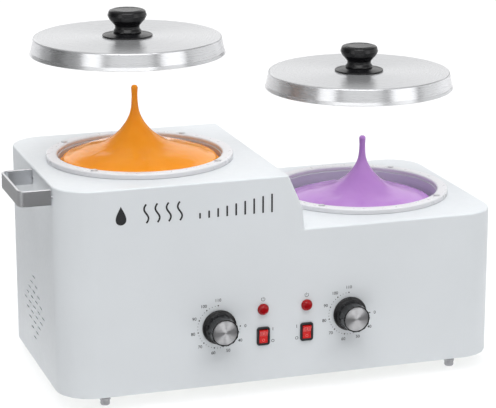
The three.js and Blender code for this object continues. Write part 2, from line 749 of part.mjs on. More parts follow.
for (const [index, { side, dialX, switchX }] of CONTROLS.entries()) {
  const { x: potX, deck, potDepth } = STATIONS[index];
  const dial = addGroup(body, [dialX, FRONT_Y, DIAL_Z]);
  addPiece(dial, `dial_knob_${side}`, makeDialKnob(), blackPlastic);
  addPiece(dial, `dial_cap_${side}`, makeDialCap(), satinAluminium);
  addPiece(dial, `thermostat_shaft_${side}`, makeThermostatShaft(), zincSteel);
  const bulbZ = deck - potDepth - POT_WALL - BULB_RADIUS - 0.4 - DIAL_Z;
  const thermostat = makeThermostat(potX - dialX, -FRONT_Y, bulbZ);
  addPiece(dial, `thermostat_${side}`, thermostat, zincSteel);
  const toggle = addGroup(body, [switchX, FRONT_Y, SWITCH_Z]);
  addPiece(toggle, `switch_frame_${side}`, makeSwitchFrame(), blackPlastic);
  addPiece(toggle, `switch_rocker_${side}`, makeRocker(), redPlastic, [0, 1, 0]);
  const lamp = addGroup(body, [switchX, FRONT_Y, LAMP_Z]);
  lamp.rotation.x = Math.PI / 2;
  addPiece(lamp, `lamp_lens_${side}`, makeLampLens(), lampRed);
  addPiece(lamp, `lamp_body_${side}`, makeLampBody(), blackPlastic);
}

for (const handle of HANDLES) {
  const { side, outward, y, top } = handle;
  const rootX = outward * (BODY_LENGTH / 2 + GAP);
  const strapZ = top - HANDLE_STRAP / 2;
  addPiece(body, `handle_${side}`, makeHandle(handle), polishedSteel, [rootX, y, strapZ]);
  handleStudSpots(handle).forEach(([x, sy, z], i) => {
    const nutX = x - outward * (SHEET + 3);
    addPiece(body, `handle_nut_${side}_${i + 1}`, makeNut(), zincSteel, [nutX, sy, z]);
  });
}

addPiece(body, 'power_inlet', makePowerInlet(), blackPlastic, [INLET_X, REAR_Y, INLET_Z]);
addPiece(body, 'terminal_block', makeTerminalBlock(), ceramic, [0, 90, FOOT_HEIGHT + SHEET + GAP]);

export default group;
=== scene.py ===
import math

import bmesh
import bpy
from mathutils import Euler, Matrix, Vector


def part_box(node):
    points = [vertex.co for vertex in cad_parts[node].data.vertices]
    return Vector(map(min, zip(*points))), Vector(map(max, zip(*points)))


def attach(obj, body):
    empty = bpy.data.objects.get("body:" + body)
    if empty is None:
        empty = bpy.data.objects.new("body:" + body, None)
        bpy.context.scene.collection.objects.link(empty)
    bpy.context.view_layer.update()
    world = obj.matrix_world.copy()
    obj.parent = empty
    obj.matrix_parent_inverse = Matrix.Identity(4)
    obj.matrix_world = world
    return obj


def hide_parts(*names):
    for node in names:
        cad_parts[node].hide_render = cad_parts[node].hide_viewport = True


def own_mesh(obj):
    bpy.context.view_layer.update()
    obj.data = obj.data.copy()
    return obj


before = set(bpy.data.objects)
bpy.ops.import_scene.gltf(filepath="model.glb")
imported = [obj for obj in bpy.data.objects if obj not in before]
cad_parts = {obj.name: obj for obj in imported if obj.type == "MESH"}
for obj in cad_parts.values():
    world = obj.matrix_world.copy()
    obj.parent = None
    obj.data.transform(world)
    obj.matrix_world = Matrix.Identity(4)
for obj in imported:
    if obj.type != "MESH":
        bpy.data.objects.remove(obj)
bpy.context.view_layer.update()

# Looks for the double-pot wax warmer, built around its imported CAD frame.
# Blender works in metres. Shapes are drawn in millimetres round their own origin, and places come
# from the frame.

MM = 0.001
SIDES = ("left", "right")

# ------------------------ driving values, millimetres

ROUND = 128                  # sides of large turned pieces
KNOB_ROUND = 96              # sides of knobs and lamp domes
SMALL_ROUND = 48             # sides of feet, rivets and screws
RING_ROUND = 32              # sides of printed rings
STUD_ROUND = 24              # sides of studs and their holes
DOT_ROUND = 20               # sides of printed dots
ARC_STEPS = 6                # straight pieces in a rounded corner
CURVE_STEPS = 5              # straight pieces between two points of a smooth curve
SHEET = 1.5                  # casing sheet
GAP = 0.3                    # clearance between separate pieces
POLE_RADIUS = 1e-6           # a radius below this is a point on the axis
BODY_CORNER = 40
BEND = 2.2                   # outer radius of the casing's folded edges
RISER_TOP_X = 1.4
RISER_KNEE_X = 18.1
RISER_FOOT_X = 20
RISER_KNEE_DROP = 38

POT_RADIUS = 92
POT_WALL = 1.2
POT_CORNER = 9.3             # inside the pot, between wall and floor
POT_FLANGE_RADIUS = 102
RIM_RADIUS = 105.5
RIM_OPENING = 93
RIM_HEIGHT = 6.2
RIM_SHEET = 1.2
RIVET_HEAD_RADIUS = 4
RIVET_SHANK_RADIUS = 1.7
LID_RADIUS = 109
LID_TOP_RADIUS = 104.5
LID_HEIGHT = 18.5
LID_SHEET = 1
LID_HOLE_RADIUS = 2.4
FLANGE_RADIUS = 28
FLANGE_HEIGHT = 4
DIAL_SKIRT_RADIUS = 19.5
DIAL_GRIP_RADIUS = 15.8
DIAL_CAP_RADIUS = 13.8
DIAL_DEPTH = 24
DIAL_FLUTES = 14
DIAL_FLUTE_DEPTH = 0.6
ROCKER_TILT = 8              # degrees from the middle at rest
ROCKER_HALF_WIDTH = 4.9
BEZEL_OPENING = (10.8, 16.8, 0.9)   # openings and holes: width, height and corner
INLET_OPENING = (24, 16, 2.5)
SWITCH_HOLE = (13.6, 19.6, 0.8)
INLET_HOLE = (28.6, 21.6, 1.5)
HANDLE_THICKNESS = 3
HANDLE_CORNER = 9
STUD_RADIUS = 2
STUD_LENGTH = 9
PRINT = 0.08                 # thickness of the printed marks
WAX_LEAN = {"left": -5.0, "right": 5.5}     # how far a peak's tip stands beside its pot's middle
WAX_CORNER = 9.5
WAX_EDGE = 3.2

VENT_ROWS = (1, 2, 3, 4, 5, 4, 3, 2, 1)
VENT_LENGTH = 12.5
VENT_HEIGHT = 2
VENT_PITCH_Y = 22.5
VENT_PITCH_Z = 9
VENT_CENTRE_Y = 5
VENT_CENTRE_Z = 79.5

SHAFT_HOLE_RADIUS = 5
LAMP_HOLE_RADIUS = 5
STUD_HOLE_RADIUS = 2.4
ROUND_END = 0.49             # corner of a slot or bar with round ends, as a share of its width
OVERCUT = 4                  # how far a cutter runs to each side of the face that it cuts
END_OVERRUN = 1              # how far the stepped outline runs past the upright wrap at each end
TOP_OVERRUN = 2              # how far the upright wrap runs past the tall deck


def millimetres(metres):
    return metres / MM


def middle(node):
    low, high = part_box(node)
    return (low + high) / 2


def place(x, y, z):
    """A point given in millimetres, in metres."""
    return Vector((x, y, z)) * MM


BODY_LOW, BODY_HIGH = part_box("side_band")
BODY_CENTRE = middle("side_band")
BODY_LENGTH = millimetres(BODY_HIGH.x - BODY_LOW.x)
BODY_DEPTH = millimetres(BODY_HIGH.y - BODY_LOW.y)
BODY_FOOT = millimetres(BODY_LOW.z)
FRONT_Y = BODY_LOW.y
REAR_Y = BODY_HIGH.y
DECKS = {side: millimetres(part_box(f"rim_ring_{side}")[0].z) - GAP for side in SIDES}

# ------------------------ mesh helpers


def rounded(corners, closed=False):
    """The points of an outline: a corner is (u, v), sharp, or (u, v, radius), rounded."""
    count = len(corners)
    points = []
    for i, corner in enumerate(corners):
        here = Vector(corner[:2])
        at_end = not closed and i in (0, count - 1)
        if len(corner) == 2 or at_end:
            points.append(here)
            continue
        before = (Vector(corners[i - 1][:2]) - here).normalized()
        after = (Vector(corners[(i + 1) % count][:2]) - here).normalized()
        half = before.angle(after) / 2
        radius = corner[2]
        centre = here + (before + after).normalized() * (radius / math.sin(half))
        start = here + before * (radius / math.tan(half)) - centre
        end = here + after * (radius / math.tan(half)) - centre
        for step in range(ARC_STEPS + 1):
            arm = start.lerp(end, step / ARC_STEPS).normalized()
            points.append(centre + arm * radius)
    return points


def rounded_rectangle(width, height, radius):
    x, y = width / 2, height / 2
    return rounded([(-x, -y, radius), (x, -y, radius), (x, y, radius), (-x, y, radius)], closed=True)


def disc(radius, sides=SMALL_ROUND, centre=(0, 0)):
    turn = 2 * math.pi / sides
    return [
        Vector((centre[0] + radius * math.cos(i * turn), centre[1] + radius * math.sin(i * turn)))
        for i in range(sides)
    ]


def smooth_curve(points, steps):
    """A Catmull-Rom curve through the points, ends included."""
    padded = [points[0], *points, points[-1]]
    curve = []
    for i in range(1, len(padded) - 2):
        a, b, c, d = (Vector(p) for p in padded[i - 1:i + 3])
        for step in range(steps):
            t = step / steps
            curve.append(
                0.5 * (2 * b + (c - a) * t + (2 * a - 5 * b + 4 * c - d) * t * t
                       + (3 * b - a - 3 * c + d) * t ** 3)
            )
    curve.append(Vector(points[-1]))
    return curve


def skin(loops, closed_section=False):
    """A closed bmesh over loops of the same number of points; a loop of one point is a pole."""
    bm = bmesh.new()
    rings = [[bm.verts.new(point) for point in loop] for loop in loops]
    following = rings[1:] + ([rings[0]] if closed_section else [])
    for low, high in zip(rings, following):
        count = max(len(low), len(high))
        for i in range(count):
            j = (i + 1) % count
            corners = [low[i % len(low)], low[j % len(low)], high[j % len(high)], high[i % len(high)]]
            bm.faces.new(list(dict.fromkeys(corners)))
    if not closed_section:
        for ring in (rings[0], rings[-1]):
            if len(ring) > 1:
                bm.faces.new(ring)
    bmesh.ops.recalc_face_normals(bm, faces=bm.faces)
    return bm


def lathe(profile, sides=ROUND, closed=False, flutes=0):
    """Turned about Z from (radius, height) points, or (radius, height, flute depth) points."""
    loops = []
    for point in profile:
        radius, height = point[0], point[1]
        depth = point[2] if len(point) > 2 else 0
        if radius < POLE_RADIUS:
            loops.append([place(0, 0, height)])
            continue
        loop = []
        for i in range(sides):
            angle = i * 2 * math.pi / sides
            reach = radius - depth * abs(math.sin(flutes * angle / 2))
            loop.append(place(reach * math.cos(angle), reach * math.sin(angle), height))
        loops.append(loop)
    return skin(loops, closed)


def prism(outline, low, high, axis="z"):
    """An outline pulled along an axis: (x, y) outlines along z, (x, z) along y, (y, z) along x."""
    to_point = {
        "z": lambda u, v, w: place(u, v, w),
        "y": lambda u, v, w: place(u, w, v),
        "x": lambda u, v, w: place(w, u, v),
    }[axis]
    return skin([[to_point(u, v, w) for u, v in outline] for w in (low, high)])


def frame_loft(width, height, corner, profile, closed=False):
    """Rounded rectangles in XY that grow by each (growth, z) point of the profile."""
    loops = []
    for grow, z in profile:
        outline = rounded_rectangle(width + 2 * grow, height + 2 * grow, corner + grow)
        loops.append([place(u, v, z) for u, v in outline])
    return skin(loops, closed)


def soften(bm, width, segments=3, least_angle=30, above=-math.inf):
    """Rounds the sharp edges that lie wholly above a height in millimetres."""
    sharp = [
        edge for edge in bm.edges
        if edge.is_manifold
        and edge.calc_face_angle() > math.radians(least_angle)
        and min(vert.co.z for vert in edge.verts) > above * MM
    ]
    bmesh.ops.bevel(bm, geom=sharp, offset=width * MM, segments=segments, profile=0.5,
                    affect="EDGES", clamp_overlap=True)
    return bm


def new_mesh(name, bm):
    """A mesh made from a bmesh, which is used up."""
    mesh = bpy.data.meshes.new(name)
    bm.to_mesh(mesh)
    bm.free()
    return mesh


def new_object(name, data):
    made = bpy.data.objects.new(name, data)
    bpy.context.scene.collection.objects.link(made)
    return made


def joined(*parts):
    """One bmesh that holds all the parts."""
    whole = bmesh.new()
    for part in parts:
        mesh = new_mesh("part", part)
        whole.from_mesh(mesh)
        bpy.data.meshes.remove(mesh)
    return whole


def moved(bm, offset=(0, 0, 0), turn=(0, 0, 0)):
    """Turns a bmesh by Euler degrees, then moves it by millimetres."""
    rotation = Euler([math.radians(a) for a in turn]).to_matrix().to_4x4()
    bmesh.ops.transform(bm, matrix=Matrix.Translation(place(*offset)) @ rotation, verts=bm.verts)
    return bm


def boolean(bm, tool, operation):
    """The exact boolean of two bmeshes, which are both used up."""
    target = new_object("target", new_mesh("target", bm))
    cutter = new_object("tool", new_mesh("tool", tool))
    modifier = target.modifiers.new("boolean", "BOOLEAN")
    modifier.operation = operation
    modifier.solver = "EXACT"
    modifier.object = cutter
    depsgraph = bpy.context.evaluated_depsgraph_get()
    result = bmesh.new()
    result.from_object(target, depsgraph)
    for holder in (target, cutter):
        mesh = holder.data
        bpy.data.objects.remove(holder)
        bpy.data.meshes.remove(mesh)
    return result


def add_piece(name, bm, material, body, at=(0, 0, 0), turn=(0, 0, 0), replaces=(), sharp=32):
    """Makes a smooth-shaded object from a bmesh and hangs it on a body of the frame."""
    mesh = new_mesh(name, bm)
    mesh.materials.append(material)
    mesh.shade_smooth()
    mesh.set_sharp_from_angle(angle=math.radians(sharp))
    piece = new_object(name, mesh)
    piece.location = at
    piece.rotation_euler = [math.radians(a) for a in turn]
    normals = piece.modifiers.new("even_normals", "WEIGHTED_NORMAL")
    normals.keep_sharp = True
    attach(piece, body)
    if replaces:
        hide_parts(*replaces)
    return piece


# ------------------------ material helpers


def display(red, green, blue):
    """A display colour, 0 to 255, as the linear colour that shaders take."""
    def linear(value):
        share = value / 255
        return share / 12.92 if share <= 0.04045 else ((share + 0.055) / 1.055) ** 2.4
    return (linear(red), linear(green), linear(blue), 1.0)


class Finish:
    """A material round one Principled shader, with short ways to drive it from textures."""

    def __init__(self, name, colour, roughness, **constants):
        self.material = bpy.data.materials.new(name)
        self.material.use_nodes = True
        self.tree = self.material.node_tree
        self.shader = self.tree.nodes["Principled BSDF"]
        self.shader.inputs["Base Color"].default_value = colour
        self.shader.inputs["Roughness"].default_value = roughness
        for socket, value in constants.items():
            self.shader.inputs[socket.replace("_", " ")].default_value = value
        self.height = None

    def node(self, kind, **settings):
        made = self.tree.nodes.new(kind)
        for key, value in settings.items():
            setattr(made, key, value)
        return made

    def link(self, source, target):
        self.tree.links.new(source, target)

    def coordinates(self):
        return self.node("ShaderNodeTexCoord").outputs["Object"]

    def math(self, operation, first, second):
        made = self.node("ShaderNodeMath", operation=operation)
        for socket, value in zip(made.inputs, (first, second)):
            if isinstance(value, (int, float)):
                socket.default_value = value
            else:
                self.link(value, socket)
        return made.outputs[0]

    def vector_math(self, operation, *sources):
        made = self.node("ShaderNodeVectorMath", operation=operation)
        for source, socket in zip(sources, made.inputs):
            self.link(source, socket)
        return made

    def noise(self, scale, detail=3.0, vector=None, distortion=0.0):
        made = self.node("ShaderNodeTexNoise")
        made.inputs["Scale"].default_value = scale
        made.inputs["Detail"].default_value = detail
        made.inputs["Distortion"].default_value = distortion
        self.link(vector or self.coordinates(), made.inputs["Vector"])
        return made.outputs[0]

    def polar(self, round_scale, radial_scale):
        """Object coordinates wrapped round Z: scales across the turn and along the radius."""
        split = self.node("ShaderNodeSeparateXYZ")
        self.link(self.coordinates(), split.inputs[0])
        flat = self.node("ShaderNodeCombineXYZ")
        for letter in "XY":
            self.link(split.outputs[letter], flat.inputs[letter])
        length = self.vector_math("LENGTH", flat.outputs[0])
        unit = self.vector_math("NORMALIZE", flat.outputs[0])
        turned = self.vector_math("SCALE", unit.outputs[0])
        turned.inputs["Scale"].default_value = round_scale
        depth = self.math("ADD", length.outputs["Value"], split.outputs["Z"])
        along = self.node("ShaderNodeCombineXYZ")
        self.link(self.math("MULTIPLY", depth, radial_scale), along.inputs["Z"])
        return self.vector_math("ADD", turned.outputs[0], along.outputs[0]).outputs[0]

    def stretched(self, x, y, z):
        made = self.vector_math("MULTIPLY", self.coordinates())
        made.inputs[1].default_value = (x, y, z)
        return made.outputs[0]

    def drive(self, socket, factor, low, high, start=0.3, end=0.7):
        """Maps a 0-1 pattern onto a shader value."""
        made = self.node("ShaderNodeMapRange")
        self.link(factor, made.inputs["Value"])
        for key, value in zip(("From Min", "From Max", "To Min", "To Max"), (start, end, low, high)):
            made.inputs[key].default_value = value
        self.link(made.outputs[0], self.shader.inputs[socket])
        return self

    def tint(self, factor, first, second, start=0.3, end=0.7):
        """Runs the base colour between two colours by a 0-1 pattern."""
        ramp = self.node("ShaderNodeValToRGB")
        for stop, position, colour in zip(ramp.color_ramp.elements, (start, end), (first, second)):
            stop.position = position
            stop.color = colour
        self.link(factor, ramp.inputs[0])
        self.link(ramp.outputs[0], self.shader.inputs["Base Color"])
        return self

    def relief(self, factor, depth, strength=1.0):
        """Adds a bump of a depth in millimetres."""
        made = self.node("ShaderNodeBump")
        made.inputs["Strength"].default_value = strength
        made.inputs["Distance"].default_value = depth * MM
        self.link(factor, made.inputs["Height"])
        if self.height:
            self.link(self.height, made.inputs["Normal"])
        self.height = made.outputs[0]
        self.link(self.height, self.shader.inputs["Normal"])
        return self


# ------------------------ materials
# Noise scales are in features per metre.

PAINT_DRIFT = 9
PAINT_GLOSS = 160
PAINT_PEEL = 620
TURNED_SCALES = (1.2, 2600)  # round the axis, and outwards
PLASTIC_CLOUD = 60
PLASTIC_GRAIN = 1500
WAX_CLOUD = 22
WAX_GLOSS = 45
WAX_RIPPLE = 34
WOOL_STRANDS = (260, 260, 900)
FOIL_CREASES = 130
FOIL_CLOUD = 90
FOIL_GLOSS = 200
INK_CLOUD = 700
INK_GLOSS = 900
INK_THINNING = 1.4           # how much lighter the ink is where it is thin


def powder_coat(name, colour, shade, roughness, relief=0.035):
    """Baked paint: a faint drift of shade, uneven gloss and fine orange peel."""
    finish = Finish(name, colour, roughness, Specular_IOR_Level=0.35)
    finish.tint(finish.noise(PAINT_DRIFT, detail=2), shade, colour)
    finish.drive("Roughness", finish.noise(PAINT_GLOSS, detail=4), roughness - 0.05, roughness + 0.08)
    finish.relief(finish.noise(PAINT_PEEL, detail=2), relief)
    return finish.material


def brushed_round(name, colour, shade, roughness, anisotropy, relief, metallic=1.0):
    """Metal turned or spun on a lathe.

    Its fine marks run round the axis, and reflections smear across them.
    """
    finish = Finish(name, colour, roughness, Metallic=metallic, Anisotropic=anisotropy,
                    Anisotropic_Rotation=0.25)
    marks = finish.noise(1, detail=5, vector=finish.polar(*TURNED_SCALES))
    finish.tint(marks, shade, colour)
    finish.drive("Roughness", marks, roughness - 0.02, roughness + 0.02)
    finish.relief(marks, relief)
    tangent = finish.node("ShaderNodeTangent", direction_type="RADIAL", axis="Z")
    finish.link(tangent.outputs[0], finish.shader.inputs["Tangent"])
    return finish.material


def brushed_straight(name, colour, shade, roughness, stretch, relief):
    """Metal brushed along one axis, which has the smallest number in stretch."""
    finish = Finish(name, colour, roughness, Metallic=1.0)
    marks = finish.noise(1, detail=4, vector=finish.stretched(*stretch))
    finish.tint(marks, shade, colour)
    finish.drive("Roughness", marks, roughness - 0.01, roughness + 0.02)
    finish.relief(marks, relief)
    return finish.material


def moulded(name, colour, shade, roughness, relief=0.02, **constants):
    """Moulded plastic or ceramic with a fine grain."""
    finish = Finish(name, colour, roughness, **constants)
    cloud = finish.noise(PLASTIC_CLOUD, detail=3)
    finish.tint(cloud, shade, colour)
    finish.drive("Roughness", cloud, roughness - 0.02, roughness + 0.04)
    finish.relief(finish.noise(PLASTIC_GRAIN, detail=2), relief)
    return finish.material


def molten_wax(name, colour, deep, scatter):
    """Opaque liquid wax with slow ripples; scatter is how far each colour spreads inside it."""
    finish = Finish(name, colour, 0.12, Coat_Weight=0.04, Coat_Roughness=0.03,
                    Subsurface_Weight=0.2, Subsurface_Scale=0.006, IOR=1.45,
                    Specular_IOR_Level=0.15)
    finish.shader.inputs["Subsurface Radius"].default_value = scatter
    finish.tint(finish.noise(WAX_CLOUD, detail=2, distortion=0.6), deep, colour)
    finish.drive("Roughness", finish.noise(WAX_GLOSS, detail=2), 0.08, 0.18)
    finish.relief(finish.noise(WAX_RIPPLE, detail=1, distortion=1.2), 1.4, strength=0.6)
    return finish.material


def fibrous(name, colour, shade):
    """A blanket of matted glass fibre."""
    finish = Finish(name, colour, 0.95, Sheen_Weight=0.3)
    strands = finish.noise(1, detail=6, vector=finish.stretched(*WOOL_STRANDS), distortion=2.0)
    finish.tint(strands, shade, colour)
    finish.relief(strands, 1.2)
    return finish.material


def crackled_foil(name, colour, shade):
    """A dull metal-faced band with fine creases."""
    finish = Finish(name, colour, 0.45, Metallic=0.7)
    creases = finish.node("ShaderNodeTexVoronoi", feature="DISTANCE_TO_EDGE")
    creases.inputs["Scale"].default_value = FOIL_CREASES
    finish.link(finish.coordinates(), creases.inputs["Vector"])
    finish.tint(finish.noise(FOIL_CLOUD, detail=4), shade, colour)
    finish.drive("Roughness", finish.noise(FOIL_GLOSS), 0.35, 0.6)
    finish.relief(creases.outputs["Distance"], 0.6)
    return finish.material


def ink(name, colour):
    """Screen-printed ink, lighter where it is thin."""
    finish = Finish(name, colour, 0.55)
    thin = (*(min(1, channel * INK_THINNING) for channel in colour[:3]), 1)
    finish.drive("Roughness", finish.noise(INK_GLOSS, detail=2), 0.45, 0.65)
    finish.tint(finish.noise(INK_CLOUD, detail=2), colour, thin)
    return finish.material


PAINT = powder_coat("powder_coat", display(215, 219, 222), display(212, 216, 219), 0.38)
RIM_PAINT = powder_coat("rim_enamel", display(223, 223, 226), display(221, 221, 224), 0.3, 0.001)
POT_METAL = brushed_round("pot_metal", display(206, 209, 214), display(200, 203, 208), 0.55,
                          0.3, 0.003, metallic=0.2)
LID_METAL = brushed_round("lid_metal", display(208, 209, 211), display(204, 205, 207), 0.28,
                          0.6, 0.0003, metallic=0.8)
DIAL_METAL = brushed_round("dial_metal", display(240, 240, 242), display(233, 233, 236), 0.46,
                           0.95, 0.001)
RIVET_METAL = brushed_round("rivet_metal", display(228, 228, 230), display(218, 218, 221), 0.3,
                            0.3, 0.002)
STRAP_STEEL = brushed_straight("strap_steel", display(214, 215, 218), display(206, 207, 210), 0.24,
                               (25, 25, 1400), 0.00002)
ZINC = brushed_straight("zinc", display(190, 193, 188), display(168, 171, 166), 0.4,
                        (300, 300, 300), 0.02)
BRASS = brushed_straight("brass", display(222, 190, 110), display(200, 168, 92), 0.3,
                         (900, 900, 120), 0.01)
BLACK = moulded("black_plastic_moulded", display(16, 16, 18), display(20, 20, 22), 0.26, 0.0008,
               Specular_IOR_Level=0.35)
SATIN_BLACK = moulded("satin_black_moulded", display(34, 34, 37), display(42, 42, 45), 0.42)
RED = moulded("rocker_red_moulded", display(214, 30, 28), display(196, 22, 22), 0.2, 0.01,
              Coat_Weight=0.6, Coat_Roughness=0.08, Subsurface_Weight=0.1, Subsurface_Scale=0.002)
LENS = moulded("lamp_red_lens", display(160, 0, 10), display(142, 0, 8), 0.12, 0.001,
               Coat_Weight=0.25, Coat_Roughness=0.03, Specular_IOR_Level=0.2)
FOOT = moulded("foot_clear_grey", display(206, 206, 210), display(194, 194, 199), 0.16, 0.01,
               Transmission_Weight=0.35, IOR=1.45)
MICA = crackled_foil("mica_band", display(164, 150, 128), display(132, 118, 98))
WOOL = fibrous("glass_wool_blanket", display(236, 224, 178), display(214, 198, 146))
CERAMIC = moulded("ceramic_block", display(232, 227, 215), display(218, 212, 198), 0.5, 0.06)
AMBER = molten_wax("amber_molten", display(240, 154, 46), display(233, 144, 36), (1.0, 0.45, 0.12))
LILAC = molten_wax("lilac_molten", display(190, 143, 210), display(182, 133, 204), (0.7, 0.4, 0.9))
INK = ink("print_black", display(28, 28, 31))
PALE_INK = ink("print_pale", display(216, 88, 82))
WAXES = {"left": AMBER, "right": LILAC}

# ------------------------ casing


def front_outline(inset):
    """The body seen from the front, as (x, z) points that lie an inset below the decks."""
    end = BODY_LENGTH / 2 + END_OVERRUN
    foot = BODY_FOOT - (SHEET if inset else 0)
    high = DECKS["left"] - inset
    low = DECKS["right"] - inset
    return [
        (-end, foot),
        (end, foot),
        (end, low),
        (RISER_FOOT_X - inset, low),
        (RISER_KNEE_X - inset, DECKS["left"] - RISER_KNEE_DROP - inset / 2),
        (RISER_TOP_X - inset, high),
        (-end, high),
    ]


def stepped_block(inset):
    plan = rounded_rectangle(BODY_LENGTH - 2 * inset, BODY_DEPTH - 2 * inset, BODY_CORNER - inset)
    upright = prism(plan, BODY_FOOT - SHEET * 2, DECKS["left"] + TOP_OVERRUN)
    across = prism(front_outline(inset), -BODY_DEPTH, BODY_DEPTH, axis="y")
    return boolean(across, upright, "INTERSECT")


def vent_cutters():
    slots = []
    for row, count in enumerate(VENT_ROWS):
        z = VENT_CENTRE_Z + ((len(VENT_ROWS) - 1) / 2 - row) * VENT_PITCH_Z
        for i in range(count):
            y = VENT_CENTRE_Y + (i - (count - 1) / 2) * VENT_PITCH_Y
            slot = rounded_rectangle(VENT_LENGTH, VENT_HEIGHT, VENT_HEIGHT * ROUND_END)
            outline = [(y + u, z + v) for u, v in slot]
            slots.append(prism(outline, -BODY_LENGTH, BODY_LENGTH, axis="x"))
    return slots


def hole_through_wall(outline, node, wall_y):
    """A cutter through the front or rear wall at a node's middle."""
    centre = middle(node)
    x = millimetres(centre.x)
    y = millimetres(wall_y - BODY_CENTRE.y)
    z = millimetres(centre.z)
    return prism([(x + u, z + v) for u, v in outline], y - OVERCUT, y + OVERCUT, axis="y")


def casing_cutters():
    cutters = vent_cutters()
    for side in SIDES:
        x = millimetres(middle(f"pot_{side}").x)
        mouth = disc(POT_RADIUS + POT_WALL + 2 * GAP, ROUND, (x, 0))
        cutters.append(prism(mouth, DECKS[side] - OVERCUT, DECKS[side] + OVERCUT))
        cutters.append(hole_through_wall(disc(SHAFT_HOLE_RADIUS), f"dial_cap_{side}", FRONT_Y))
        cutters.append(hole_through_wall(disc(LAMP_HOLE_RADIUS), f"lamp_lens_{side}", FRONT_Y))
        switch_hole = rounded_rectangle(*SWITCH_HOLE)
        cutters.append(hole_through_wall(switch_hole, f"switch_frame_{side}", FRONT_Y))
        for i in (1, 2):
            nut = middle(f"handle_nut_{side}_{i}")
            x = math.copysign(BODY_LENGTH / 2, nut.x)
            y = millimetres(nut.y - BODY_CENTRE.y)
            z = millimetres(nut.z)
            stud_hole = disc(STUD_HOLE_RADIUS, STUD_ROUND, (y, z))
            cutters.append(prism(stud_hole, x - OVERCUT, x + OVERCUT, axis="x"))
    cutters.append(hole_through_wall(rounded_rectangle(*INLET_HOLE), "power_inlet", REAR_Y))
    return joined(*cutters)


def make_casing():
    """One folded and welded sheet-metal shell, open below."""
    outer = soften(stepped_block(0), BEND, segments=4, above=BODY_FOOT + 1)
    shell = boolean(outer, stepped_block(SHEET), "DIFFERENCE")
    shell = boolean(shell, casing_cutters(), "DIFFERENCE")
    centre = (0, BODY_CENTRE.y, 0)
    add_piece("casing", shell, PAINT, "root", centre,
              replaces=("side_band", "deck_plate"), sharp=40)


def make_feet():
    """Short studs with a collar, which run up to the base pan."""
    collar, neck, top = 6, 5, 13.7
    profile = rounded([
        (0, 0), (4.6, 0, 0.5), (5.4, 1.6, 0.6), (5.2, 5.2, 0.4), (collar, 6, 0.3), (collar, 8.4, 0.3),
        (neck, 9.2, 0.3), (neck, top), (0, top),
    ])
    for i in range(1, 5):
        centre = middle(f"foot_{i}")
        add_piece(f"foot_stud_{i}", lathe(profile, SMALL_ROUND), FOOT, "root",
                  (centre.x, centre.y, 0), replaces=(f"foot_{i}",))


# ------------------------ pot stations
# Heights are measured from the deck that the pot hangs in.


def make_pot(side, seat, depth):
    outer = POT_RADIUS + POT_WALL
    profile = rounded([
        (0, -depth - POT_WALL), (outer, -depth - POT_WALL, POT_CORNER + POT_WALL), (outer, GAP),
        (POT_FLANGE_RADIUS, GAP), (POT_FLANGE_RADIUS, GAP + POT_WALL), (POT_RADIUS, GAP + POT_WALL, 1.1),
        (POT_RADIUS, -depth, POT_CORNER), (0, -depth),
    ])
    add_piece(f"spun_pot_{side}", lathe(profile), POT_METAL, "root", seat,
              replaces=(f"pot_{side}",))


def make_rim(side, seat):
    """A hollow pressed ring that hides the pot's flange."""
    foot = GAP + POT_WALL + GAP
    ceiling = RIM_HEIGHT - RIM_SHEET
    profile = rounded([
        (RIM_OPENING, foot), (RIM_OPENING + RIM_SHEET, foot),
        (RIM_OPENING + RIM_SHEET, ceiling, 0.6), (RIM_RADIUS - RIM_SHEET, ceiling, 0.6),
        (RIM_RADIUS - RIM_SHEET, GAP), (RIM_RADIUS, GAP, 0.3),
        (RIM_RADIUS, RIM_HEIGHT, 1.8), (RIM_OPENING, RIM_HEIGHT, 2.0),
    ], closed=True)
    add_piece(f"rim_collar_{side}", lathe(profile, closed=True), RIM_PAINT, "root", seat,
              replaces=(f"rim_ring_{side}",))


def make_rivets(side, seat):
    tail = -3
    head = RIM_HEIGHT + 0.1
    profile = rounded([
        (0, tail), (RIVET_SHANK_RADIUS, tail), (RIVET_SHANK_RADIUS, head), (RIVET_HEAD_RADIUS, head),
        (RIVET_HEAD_RADIUS, head + 0.35, 0.2), (RIVET_HEAD_RADIUS * 0.72, head + 1.2, 0.9), (0, head + 1.3),
    ])
    for i in range(1, 5):
        spot = middle(f"rim_rivet_{side}_{i}")
        add_piece(f"rivet_{side}_{i}", lathe(profile, SMALL_ROUND), RIVET_METAL, "root",
                  (spot.x, spot.y, seat.z), replaces=(f"rim_rivet_{side}_{i}",))


def make_wax_pool(side, seat, depth, level):
    radius = POT_RADIUS - GAP
    profile = rounded([
        (0, -depth + GAP), (radius, -depth + GAP, WAX_CORNER), (radius, level, WAX_EDGE), (0, level),
    ])
    add_piece(f"wax_pool_{side}", lathe(profile), WAXES[side], "root", seat,
              replaces=(f"wax_fill_{side}",), sharp=60)


PEAK_REACH = 87              # radius of a peak's foot
PEAK_SINK = 0.4              # how far the middle of its underside dips into the pool
PEAK_TIP = 0.05              # a radius below this is the closing point
PEAK_OUTLINE = (             # radius in millimetres, and share of the height
    (84.5, -0.004), (PEAK_REACH, 0.02), (86.5, 0.045), (83.5, 0.066), (79, 0.084), (74, 0.108),
    (68, 0.134), (58, 0.172), (46, 0.208), (36, 0.25), (27, 0.313), (19, 0.39), (12.2, 0.485),
    (8.3, 0.56), (5.9, 0.625), (4.3, 0.7), (3.6, 0.79), (3.4, 0.87),
    (3.7, 0.94), (3.7, 0.965), (2.6, 0.992), (0, 1),
)


